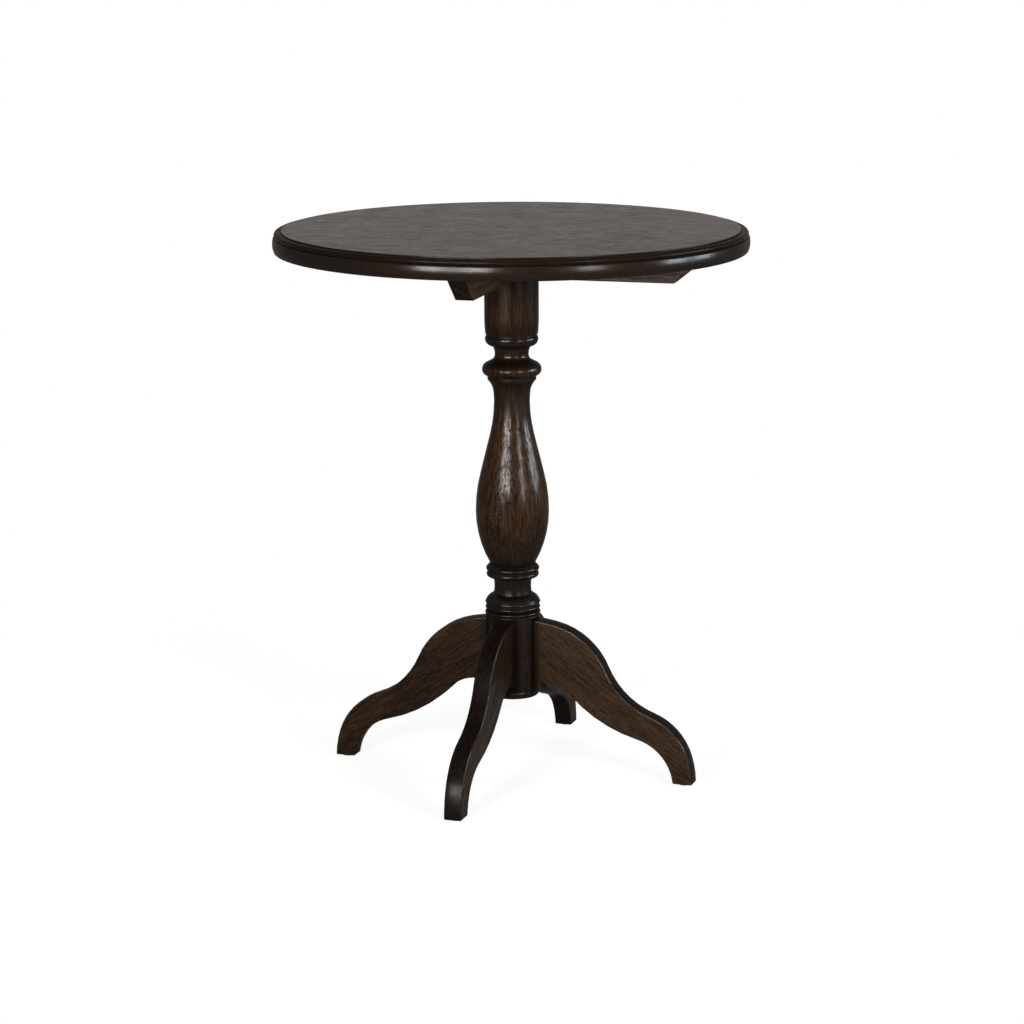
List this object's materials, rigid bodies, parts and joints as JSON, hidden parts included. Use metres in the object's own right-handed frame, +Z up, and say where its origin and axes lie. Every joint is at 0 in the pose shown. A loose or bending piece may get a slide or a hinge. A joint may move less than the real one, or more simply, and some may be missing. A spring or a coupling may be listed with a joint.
{
  "type": "side table",
  "caption": "Round pedestal side table: moulded solid-wood top on crossed bearers, turned baluster column and curved legs with floor glides; holds lamps, drinks and small things.",
  "frame": {"origin": "on the floor, under the column's axis", "axes": "+Z up; the legs stand along -Y (front), +X (right), +Y (back) and -X (left)"},
  "size_m": [0.61, 0.61, 0.718],
  "materials": {
    "top_wood": "dark stain under satin lacquer, open fine grain",
    "column_wood": "dark stain under satin lacquer, upright grain",
    "leg_wood": "dark stain under satin lacquer, grain along the leg",
    "bearer_wood": "dark stain, thin matt lacquer",
    "tenon_wood": "plain beech",
    "glide_plastic": "moulded"
  },
  "bodies": {
    "root": {"top_board_1": "top_wood", "top_board_2": "top_wood", "top_board_3": "top_wood", "top_board_4": "top_wood", "top_board_5": "top_wood", "bearer_long": "bearer_wood", "bearer_cross": "bearer_wood", "bearer_tenons": "tenon_wood", "column": "column_wood", "leg_front": "leg_wood", "leg_right": "leg_wood", "leg_back": "leg_wood", "leg_left": "leg_wood", "leg_tenon_front": "tenon_wood", "leg_tenon_right": "tenon_wood", "leg_tenon_back": "tenon_wood", "leg_tenon_left": "tenon_wood", "foot_glides": "glide_plastic"}
  },
  "joints": []
}
